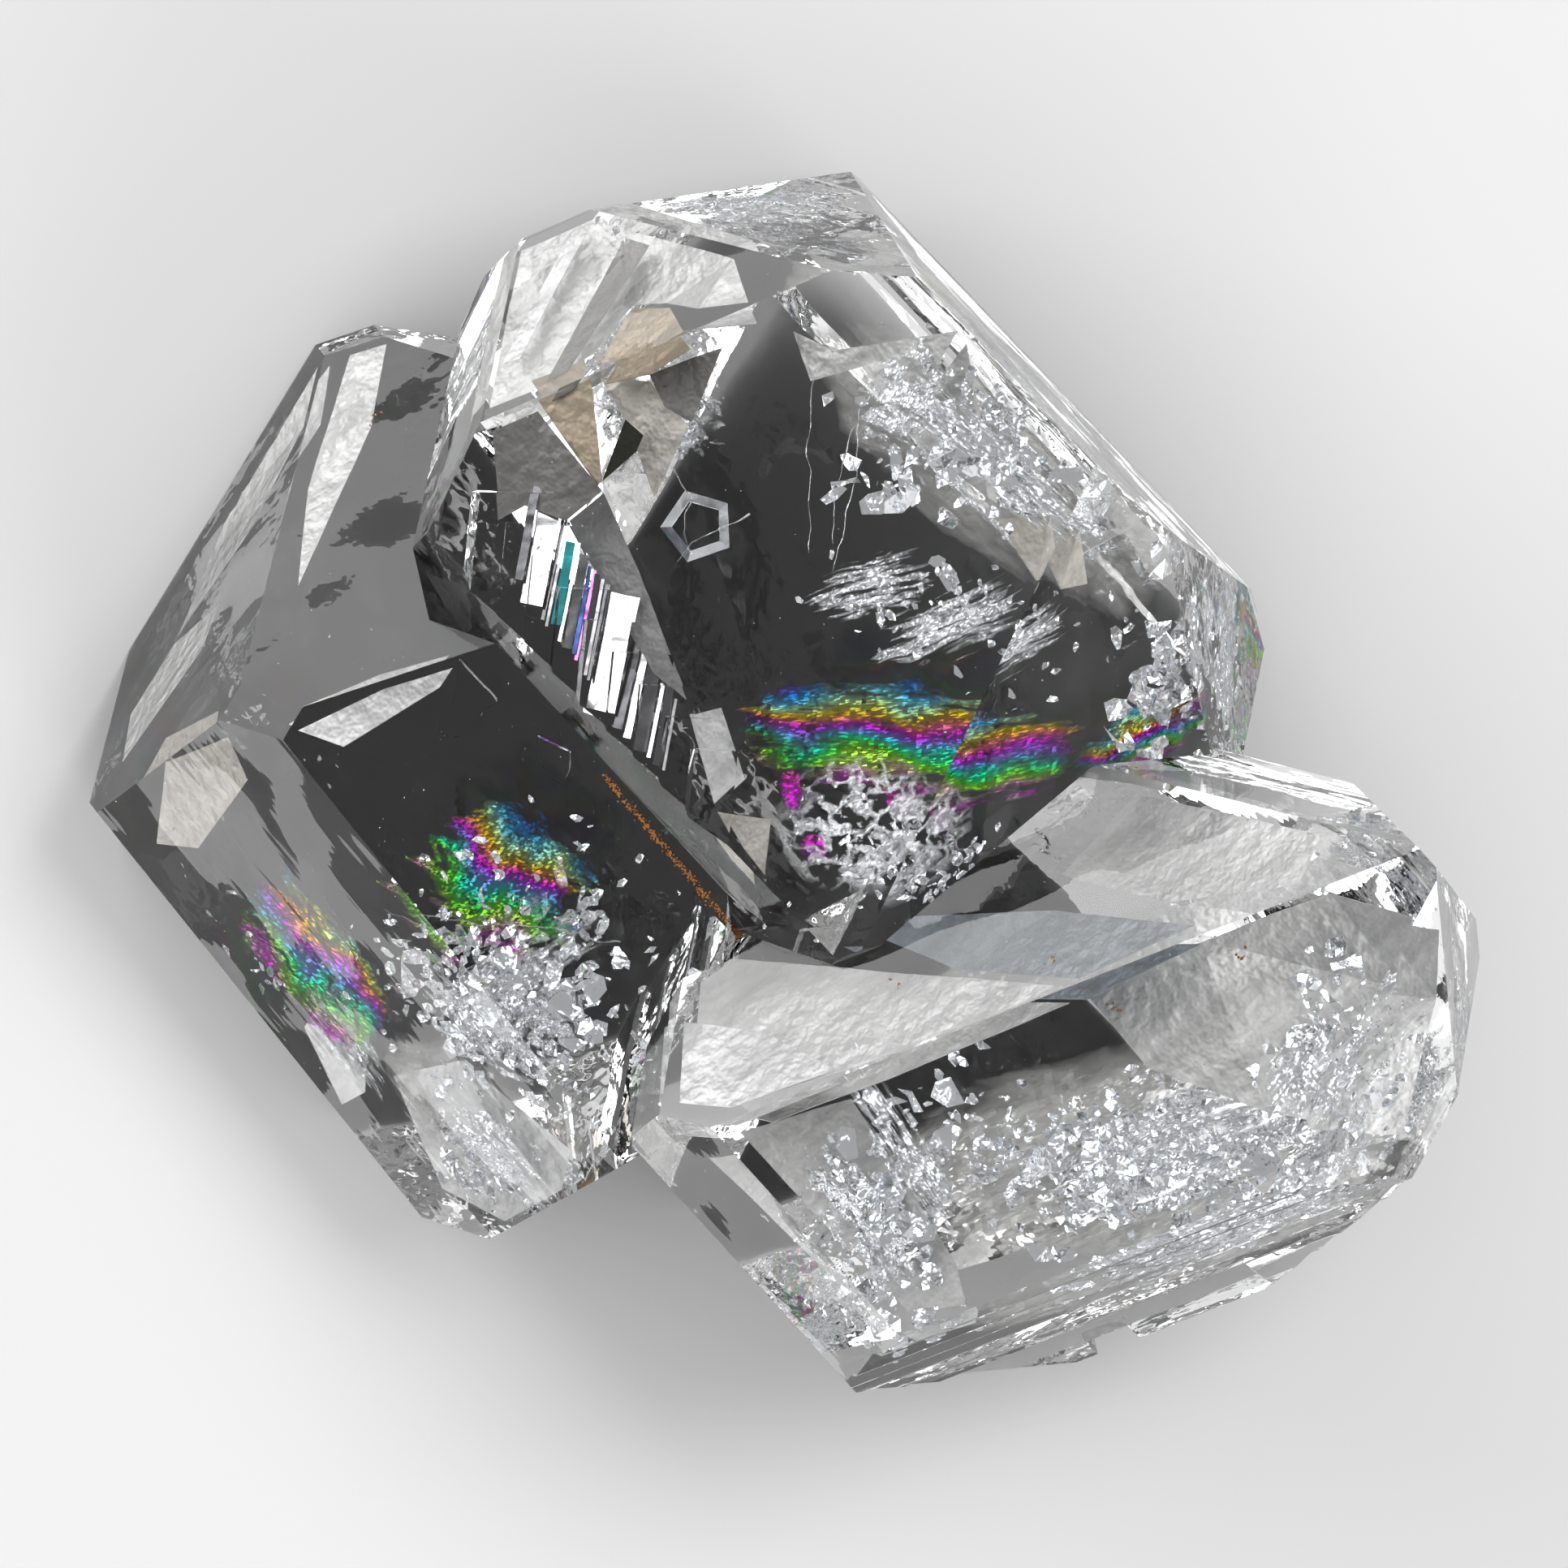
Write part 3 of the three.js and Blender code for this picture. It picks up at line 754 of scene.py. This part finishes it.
def crumpled_sheet(name, sheet, material, settings, cells):
    """An uneven sheet, cut off where it would come too near the crystal's surface."""
    middle, size, facing, turn, wander, seed = sheet
    shape = bmesh.new()
    shape.loops.layers.uv.new("UVMap")
    bmesh.ops.create_grid(shape, x_segments=cells, y_segments=cells, size=0.5, calc_uvs=True)
    layer = shape.loops.layers.uv.active
    tile = Vector((UV_RIM + seed, UV_RIM + seed % SEED_ROWS))
    for face in shape.faces:
        for loop in face.loops:
            loop[layer].uv = loop[layer].uv * (1 - 2 * UV_RIM) + tile
    bmesh.ops.scale(shape, verts=shape.verts, vec=(size[0] * MM, size[1] * MM, 1))
    offset = Vector([seed * stride for stride in SEED_STRIDES])
    for vert in shape.verts:
        place = vert.co / MM * FOLDS_PER_MM + offset
        lift = noise.fractal(place, FOLD_ROUGHNESS, FOLD_STEP, FOLD_LEVELS)
        vert.co.z = lift * wander * MM
    bmesh.ops.transform(shape, matrix=sheet_frame(middle, facing, turn), verts=shape.verts)
    outer = [vert for vert in shape.verts if not inside(vert.co, settings.margin)]
    bmesh.ops.delete(shape, geom=outer, context="VERTS")
    bmesh.ops.solidify(shape, geom=shape.faces[:], thickness=settings.gap)
    return finished(name, shape, material)


def lay_sheets(table, material, settings, cells=SHEET_CELLS):
    for name, sheet in table.items():
        crumpled_sheet(name, sheet, material, settings, cells)


def flake_heap(name, heap, material, settings):
    """Many small bent flakes round one place in the crystal."""
    middle, spread, count, length, seed = heap
    chance = random.Random(seed)
    place = sheet_frame(middle, TOWARDS_CAMERA, 0)
    shape = bmesh.new()
    for _ in range(count):
        spot = place @ Vector([chance.gauss(0, FLAKE_SCATTER) * reach * MM for reach in spread])
        radius = length * chance.uniform(*FLAKE_LENGTHS) / 2 * MM
        if not inside(spot, radius + settings.margin):
            continue
        facing = Vector(chance.choice(FLAKE_FACINGS))
        facing += Vector([chance.gauss(0, FLAKE_LEAN) for _ in range(3)])
        turn = sheet_frame((0, 0, 0), facing, chance.uniform(0, 360))
        narrow = Matrix.Diagonal((1, chance.uniform(*FLAKE_WIDTHS), 1, 1))
        made = bmesh.ops.create_circle(
            shape,
            cap_ends=True,
            segments=chance.randint(*FLAKE_CORNERS),
            radius=radius,
            matrix=Matrix.Translation(spot) @ turn @ narrow,
        )
        for vert in made["verts"]:
            vert.co += Vector([chance.gauss(0, FLAKE_BEND) * radius for _ in range(3)])
        face = made["verts"][0].link_faces[0]
        doubled = bmesh.ops.extrude_face_region(shape, geom=[face], use_keep_orig=True)
        lifted = [item for item in doubled["geom"] if isinstance(item, bmesh.types.BMVert)]
        bmesh.ops.translate(shape, verts=lifted, vec=turn.col[2].xyz * settings.gap)
    bmesh.ops.triangulate(shape, faces=shape.faces[:])
    bmesh.ops.recalc_face_normals(shape, faces=shape.faces[:])
    return finished(name, shape, material)


def growth_bars(name, colour_name, material, settings):
    """Those bars of the row that have one colour."""
    shape = bmesh.new()
    chance = random.Random(colour_name)
    offset = 0.0
    along = Vector(BARS_ALONG).normalized()
    direction = Vector(BAR_DIRECTION).normalized()
    spacing = 1 / direction.cross(along).length
    for bar_colour, width, gap, length in GROWTH_BARS:
        middle = Vector(BARS_START) + along * (offset + width / 2) * spacing
        offset += width + gap
        if bar_colour != colour_name:
            continue
        lean = Vector([chance.gauss(0, BAR_LEAN) for _ in range(3)])
        normal = (Vector(TO_LEFT_LAMP) + lean).normalized()
        lengthwise = (direction - normal * direction.dot(normal)).normalized()
        turn = Matrix((lengthwise.cross(normal), lengthwise, normal)).transposed().to_4x4()
        size = Matrix.Diagonal((width * MM, length * MM, settings.gap, 1))
        place = Matrix.Translation(middle * MM) @ turn @ size
        bmesh.ops.create_cube(shape, size=1, matrix=place)
    return finished(name, shape, material)


def negative_crystal(name, material, settings):
    """An empty five-sided hollow with slanting walls and an open middle."""
    shape = bmesh.new()
    bmesh.ops.create_circle(shape, cap_ends=True, segments=5, radius=HOLLOW_RADIUS * MM)
    inner = bmesh.ops.inset_individual(
        shape,
        faces=shape.faces[:],
        thickness=HOLLOW_WALL * HOLLOW_RADIUS * MM,
        depth=HOLLOW_SLANT * HOLLOW_RADIUS * MM,
    )
    middle_faces = [face for face in shape.faces if face not in inner["faces"]]
    bmesh.ops.delete(shape, geom=middle_faces, context="FACES_ONLY")
    place = sheet_frame(HOLLOW_MIDDLE, LEVEL, HOLLOW_TURN)
    bmesh.ops.transform(shape, matrix=place, verts=shape.verts)
    bmesh.ops.solidify(shape, geom=shape.faces[:], thickness=settings.gap)
    return finished(name, shape, material)


def filaments(name, paths, thickness, material):
    """Thin wisps that taper and wander along their paths."""
    shape = bmesh.new()
    for number, path in enumerate(paths):
        knots = [Vector(knot) * MM for knot in path]
        points = []
        for step in range(WISP_STEPS * (len(knots) - 1) + 1):
            stretch, share = divmod(step / WISP_STEPS, 1)
            first = knots[min(int(stretch), len(knots) - 2)]
            second = knots[min(int(stretch) + 1, len(knots) - 1)]
            share = 1.0 if stretch == len(knots) - 1 else share
            spot = first.lerp(second, share)
            stray = noise.noise_vector(spot / MM * WISP_WAVES + Vector((number, 0, 0)))
            points.append(spot + stray * WISP_STRAY * MM)
        for place, (start, end) in enumerate(zip(points, points[1:])):
            beads = WISP_MEAN + noise.noise(start / MM * WISP_BEADS)
            width = thickness * (1 - place / len(points)) * beads
            radius = abs(width) + WISP_LEAST * thickness
            run = end - start
            turn = run.to_track_quat("Z", "Y").to_matrix().to_4x4()
            bmesh.ops.create_cone(
                shape,
                cap_ends=True,
                segments=4,
                radius1=radius,
                radius2=radius,
                depth=run.length,
                matrix=Matrix.Translation((start + end) / 2) @ turn,
            )
    return finished(name, shape, material)


def seen_at(pixel):
    """Where the photograph's pixel meets the crystal's surface, and the surface's normal there."""
    across = (pixel[0] - PHOTO_PIXELS / 2) / PIXELS_PER_MM * MM
    above = (PHOTO_PIXELS / 2 - pixel[1]) / PIXELS_PER_MM * MM
    start = PHOTO_MIDDLE + PHOTO_RIGHT * across + PHOTO_UP * above
    start += TOWARDS_CAMERA * RAY_START * MM
    spot, normal, _, _ = SURFACE.ray_cast(start, -TOWARDS_CAMERA)
    return spot, normal


def under(pixel, depth, margin):
    """The point that shows at the photograph's pixel, a depth under the crystal's surface."""
    spot, normal = seen_at(pixel)
    view = -TOWARDS_CAMERA
    ratio = 1 / QUARTZ_INDEX
    cosine = -normal.dot(view)
    bent = view * ratio + normal * (ratio * cosine - math.sqrt(1 - ratio**2 * (1 - cosine**2)))
    while depth > margin and not inside(spot + bent * depth, margin):
        depth *= PANE_RETREAT
    return spot + bent * depth


def pane(name, depth, pixels, material, settings):
    """A thin flat face under the crystal's surface, its corners where the photograph shows them."""
    shape = bmesh.new()
    spots = [seen_at(pixel)[0] for pixel in pixels]
    right_end = max(spot.x for spot in spots)
    corners = []
    for pixel, spot in zip(pixels, spots):
        fall = (right_end - spot.x) * math.tan(math.radians(PANE_LEAN))
        corners.append(under(pixel, depth * MM + fall, settings.margin))
    shape.faces.new([shape.verts.new(corner) for corner in corners])
    bmesh.ops.triangulate(shape, faces=shape.faces[:])
    bmesh.ops.solidify(shape, geom=shape.faces[:], thickness=settings.gap)
    return finished(name, shape, material)


def grain(shape, spot, normal, size, chance):
    """One lump, pressed flat against the surface that it lies on."""
    turn = normal.to_track_quat("Z", "Y").to_matrix().to_4x4()
    spin = Matrix.Rotation(chance.uniform(0, math.tau), 4, "Z")
    length = chance.uniform(*GRAIN_LENGTHS) * size
    flat = Matrix.Diagonal((length, size * GRAIN_WIDTH, size * GRAIN_HEIGHT, 1))
    matrix = Matrix.Translation(spot - normal * size * GRAIN_SINK) @ turn @ spin @ flat
    bmesh.ops.create_icosphere(shape, subdivisions=1, radius=0.5, matrix=matrix)


def dust_on_faces(name, settings, material):
    """Dust on every face that looks up at all, thickest on the level ones."""
    chance = random.Random(DUST_SEED)
    corners = CRYSTAL.data.vertices
    faces = [face for face in CRYSTAL.data.polygons if face.normal.z > DUST_SLOPE]
    weights = [face.area * face.normal.z for face in faces]
    shape = bmesh.new()
    for face in chance.choices(faces, weights, k=settings.dust_count):
        first, second, third = (corners[index].co for index in face.vertices)
        share, other = sorted((chance.random(), chance.random()))
        spot = first * share + second * (other - share) + third * (1 - other)
        crowd = noise.noise(spot / MM * DUST_CROWDS)
        if crowd < chance.uniform(*DUST_THINNING):
            continue
        growth = math.exp(chance.gauss(0, DUST_SIZE_SPREAD))
        size = settings.dust_size * min(DUST_SIZE_LIMIT, growth)
        grain(shape, spot, face.normal, size, chance)
    return finished(name, shape, material)


def seam_stain(name, settings, chance, material):
    """Grains of iron stain along the seam between two crystals."""
    shape = bmesh.new()
    for _ in range(settings.stain_count):
        share = chance.random()
        wide = chance.gauss(0, SEAM_SCATTER)
        pixel = [low + (high - low) * share for low, high in zip(SEAM_FROM, SEAM_TO)]
        spot, normal = seen_at((pixel[0] + wide, pixel[1] - wide))
        grain(shape, spot, normal, chance.uniform(*STAIN_SIZES) * MM, chance)
    return finished(name, shape, material)


def brown_specks(name, chance, material):
    """A few clumps of brown grains."""
    shape = bmesh.new()
    for pixel in SPECK_PIXELS:
        for _ in range(SPECK_GRAINS):
            shaken = [place + chance.gauss(0, SPECK_SCATTER) for place in pixel]
            spot, normal = seen_at(shaken)
            grain(shape, spot, normal, chance.uniform(*STAIN_SIZES) * MM, chance)
    return finished(name, shape, material)


def finished(name, shape, material):
    """Turn a shape into a piece that rides with the cluster."""
    mesh = bpy.data.meshes.new(name)
    shape.to_mesh(mesh)
    shape.free()
    mesh.materials.append(material)
    piece = bpy.data.objects.new(name, mesh)
    bpy.context.scene.collection.objects.link(piece)
    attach(piece, "root")
    return piece


class QUARTZ_OT_crystal(bpy.types.Operator):
    """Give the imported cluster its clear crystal"""

    bl_idname = "quartz.crystal"
    bl_label = "Clear crystal"

    def execute(self, context):
        settings = context.scene.quartz
        material, tree, shader = plain_material("clear_quartz", (1, 1, 1), 0.0)
        shader.inputs["Transmission Weight"].default_value = 1
        shader.inputs["IOR"].default_value = settings.refraction
        absorb = tree.nodes.new("ShaderNodeVolumeAbsorption")
        absorb.inputs["Color"].default_value = (0.93, 0.96, 0.97, 1)
        absorb.inputs["Density"].default_value = settings.absorption
        tree.links.new(absorb.outputs["Volume"], tree.nodes["Material Output"].inputs["Volume"])
        skin_of_crystal(tree, shader)
        for slot in range(len(CRYSTAL.data.materials)):
            CRYSTAL.data.materials[slot] = material
        return {"FINISHED"}


class QUARTZ_OT_feathers(bpy.types.Operator):
    """Open the large silvery cracks inside the crystal"""

    bl_idname = "quartz.feathers"
    bl_label = "Feather cracks"

    def execute(self, context):
        settings = context.scene.quartz_cracks
        rim_group()
        ragged_mask_group()
        material = feather_material(tuple(settings.silver))
        lay_sheets(FEATHERS, material, settings)
        return {"FINISHED"}


class QUARTZ_OT_films(bpy.types.Operator):
    """Spread the rainbow films in the thinnest cracks"""

    bl_idname = "quartz.films"
    bl_label = "Rainbow films"

    def execute(self, context):
        settings = context.scene.quartz_cracks
        interference_group()
        material = film_material("rainbow_film", thinnest=0.0, slope_depth=620.0, wave_depth=520.0)
        lay_sheets(RAINBOW_FILMS, material, settings)
        material = film_material("purple_film", thinnest=490.0, slope_depth=30.0, wave_depth=40.0)
        lay_sheets(PURPLE_FILMS, material, settings, cells=SMALL_SHEET_CELLS)
        return {"FINISHED"}


class QUARTZ_OT_hazes(bpy.types.Operator):
    """Cloud parts of the crystal with faint haze"""

    bl_idname = "quartz.hazes"
    bl_label = "Haze"

    def execute(self, context):
        settings = context.scene.quartz_cracks
        material = haze_material(tuple(settings.haze))
        lay_sheets(HAZES, material, settings)
        return {"FINISHED"}


class QUARTZ_OT_networks(bpy.types.Operator):
    """Draw the healed cracks that have shrunk to a net of walls"""

    bl_idname = "quartz.networks"
    bl_label = "Healed networks"

    def execute(self, context):
        settings = context.scene.quartz_cracks
        network_mask_group()
        material = network_material(tuple(settings.silver))
        lay_sheets(NETWORKS, material, settings)
        return {"FINISHED"}


class QUARTZ_OT_crackles(bpy.types.Operator):
    """Fill the cloudy places with small glittering flakes"""

    bl_idname = "quartz.crackles"
    bl_label = "Crackle"

    def execute(self, context):
        settings = context.scene.quartz_cracks
        material, tree, shader = mirror_material("crackle", tuple(settings.silver), 0.16)
        rippled(tree, shader, 1600.0, 0.5)
        for name, heap in CRACKLES.items():
            flake_heap(name, heap, material, settings)
        return {"FINISHED"}


class QUARTZ_OT_grits(bpy.types.Operator):
    """Crumple the cracks at the crystals' ends and feet"""

    bl_idname = "quartz.grits"
    bl_label = "Grit"

    def execute(self, context):
        settings = context.scene.quartz_cracks
        material = grit_material(tuple(settings.silver))
        lay_sheets(GRITS, material, settings)
        return {"FINISHED"}


class QUARTZ_OT_growth(bpy.types.Operator):
    """Light up the growth steps, the hollow crystal and the wisps in the window"""

    bl_idname = "quartz.growth"
    bl_label = "Growth marks"

    def execute(self, context):
        settings = context.scene.quartz_cracks
        for colour_name, colour in BAR_COLOURS.items():
            material, tree, shader = mirror_material("bar_" + colour_name, colour, 0.15)
            rippled(tree, shader, 800.0, 0.15)
            growth_bars("growth_bars_" + colour_name, colour_name, material, settings)
        material, tree, shader = mirror_material("hollow", tuple(settings.silver), 0.12)
        rippled(tree, shader, 600.0, 0.2)
        negative_crystal("hollow_crystal", material, settings)
        filaments("wisps", FILAMENTS, settings.gap, material)
        return {"FINISHED"}


class QUARTZ_OT_panes(bpy.types.Operator):
    """Set the flat inner faces that throw back an even light, the dim ones painted shade"""

    bl_idname = "quartz.panes"
    bl_label = "Inner faces"

    def execute(self, context):
        settings = context.scene.quartz_cracks
        made = {name: pane_material("pane_" + name, tint) for name, tint in PANE_TINTS.items()}
        for name, (tint, depth, pixels) in PANES.items():
            pane(name, depth, pixels, made[tint], settings)
        return {"FINISHED"}


class QUARTZ_OT_grains(bpy.types.Operator):
    """Dust the crystal, stain its seam and drop a few brown specks on it"""

    bl_idname = "quartz.grains"
    bl_label = "Dust and stains"

    def execute(self, context):
        settings = context.scene.quartz_grains
        material, tree, shader = plain_material("dust", (0.75, 0.73, 0.70), 0.9)
        rippled(tree, shader, 30000.0, 0.4, 0.02 * MM)
        dust_on_faces("dust", settings, material)
        material, tree, shader = plain_material("iron_stain", tuple(settings.stain), 0.6)
        rippled(tree, shader, 20000.0, 0.5, 0.02 * MM)
        chance = random.Random(STAIN_SEED)
        seam_stain("seam_stain", settings, chance, material)
        brown_specks("brown_specks", chance, material)
        return {"FINISHED"}


class QUARTZ_OT_stage(bpy.types.Operator):
    """Set the floor, the lights and the camera"""

    bl_idname = "quartz.stage"
    bl_label = "Stage"

    def execute(self, context):
        settings = context.scene.quartz_stage
        lay_floor(settings.floor_width)
        hang_lights()
        aim_camera(settings.camera_distance)
        scene = context.scene
        scene.view_settings.view_transform = "Standard"
        scene.cycles.max_bounces = 10
        scene.cycles.transmission_bounces = 8
        scene.cycles.glossy_bounces = 5
        scene.cycles.transparent_max_bounces = 8
        scene.cycles.caustics_refractive = False
        scene.cycles.caustics_reflective = False
        scene.cycles.use_denoising = True
        return {"FINISHED"}


def lay_floor(width):
    """A wide pale floor, just under the cluster."""
    mesh = bpy.data.meshes.new("floor")
    shape = bmesh.new()
    bmesh.ops.create_grid(shape, x_segments=1, y_segments=1, size=width / 2)
    bmesh.ops.translate(shape, verts=shape.verts, vec=(0, 0, -FLOOR_DROP))
    shape.to_mesh(mesh)
    shape.free()
    floor = bpy.data.objects.new("floor", mesh)
    bpy.context.scene.collection.objects.link(floor)
    material, _, _ = plain_material("pale_floor", FLOOR_COLOUR, 0.9)
    mesh.materials.append(material)


def hang_light(name, place, size, radiance, target):
    """A softbox that is equally bright whatever its size."""
    light = bpy.data.lights.new(name, "AREA")
    light.shape = "RECTANGLE"
    light.size, light.size_y = size
    light.energy = radiance * math.pi * size[0] * size[1]
    lamp = bpy.data.objects.new(name, light)
    bpy.context.scene.collection.objects.link(lamp)
    lamp.location = place
    aim = Vector(target) - Vector(place)
    lamp.rotation_euler = aim.to_track_quat("-Z", "Y").to_euler()


def hang_lights():
    """Even light from all round, and four softboxes."""
    world = bpy.data.worlds.new("studio")
    bpy.context.scene.world = world
    world.use_nodes = True
    world.node_tree.nodes["Background"].inputs["Color"].default_value = (1, 1, 1, 1)
    world.node_tree.nodes["Background"].inputs["Strength"].default_value = ROOM_LIGHT
    for name, softbox in SOFTBOXES.items():
        hang_light(name, *softbox)


def aim_camera(distance):
    """A camera at the photograph's angle, so far off that it sees almost no perspective."""
    camera = bpy.data.cameras.new("camera")
    frame_width = PHOTO_PIXELS / PIXELS_PER_MM * MM
    camera.lens = camera.sensor_width * distance / frame_width
    camera.clip_end = CAMERA_REACH
    holder = bpy.data.objects.new("camera", camera)
    bpy.context.scene.collection.objects.link(holder)
    right = PHOTO_UP.cross(TOWARDS_CAMERA).normalized()
    up = TOWARDS_CAMERA.cross(right)
    turn = Matrix((right, up, TOWARDS_CAMERA)).transposed().to_4x4()
    holder.matrix_world = Matrix.Translation(PHOTO_MIDDLE + TOWARDS_CAMERA * distance) @ turn
    bpy.context.scene.camera = holder


class QUARTZ_PT_panel(bpy.types.Panel):
    """The cluster's parts, in the order in which they are built"""

    bl_idname = "QUARTZ_PT_panel"
    bl_label = "Quartz cluster"
    bl_space_type = "VIEW_3D"
    bl_region_type = "UI"
    bl_category = "Quartz"

    def draw(self, context):
        for operator in OPERATORS:
            self.layout.operator(operator.bl_idname)


OPERATORS = (
    QUARTZ_OT_crystal,
    QUARTZ_OT_feathers,
    QUARTZ_OT_films,
    QUARTZ_OT_hazes,
    QUARTZ_OT_networks,
    QUARTZ_OT_crackles,
    QUARTZ_OT_grits,
    QUARTZ_OT_growth,
    QUARTZ_OT_panes,
    QUARTZ_OT_grains,
    QUARTZ_OT_stage,
)
SETTINGS = {
    "quartz": QuartzSettings,
    "quartz_cracks": CrackSettings,
    "quartz_grains": GrainSettings,
    "quartz_stage": StageSettings,
}
CLASSES = (*SETTINGS.values(), *OPERATORS, QUARTZ_PT_panel)


def register():
    for kind in CLASSES:
        bpy.utils.register_class(kind)
    for name, kind in SETTINGS.items():
        setattr(bpy.types.Scene, name, bpy.props.PointerProperty(type=kind))


def unregister():
    for name in SETTINGS:
        delattr(bpy.types.Scene, name)
    for kind in reversed(CLASSES):
        bpy.utils.unregister_class(kind)


def main():
    register()
    bpy.ops.quartz.crystal()
    bpy.ops.quartz.feathers()
    bpy.ops.quartz.films()
    bpy.ops.quartz.hazes()
    bpy.ops.quartz.networks()
    bpy.ops.quartz.crackles()
    bpy.ops.quartz.grits()
    bpy.ops.quartz.growth()
    bpy.ops.quartz.panes()
    bpy.ops.quartz.grains()
    bpy.ops.quartz.stage()


if __name__ == "__main__":
    main()
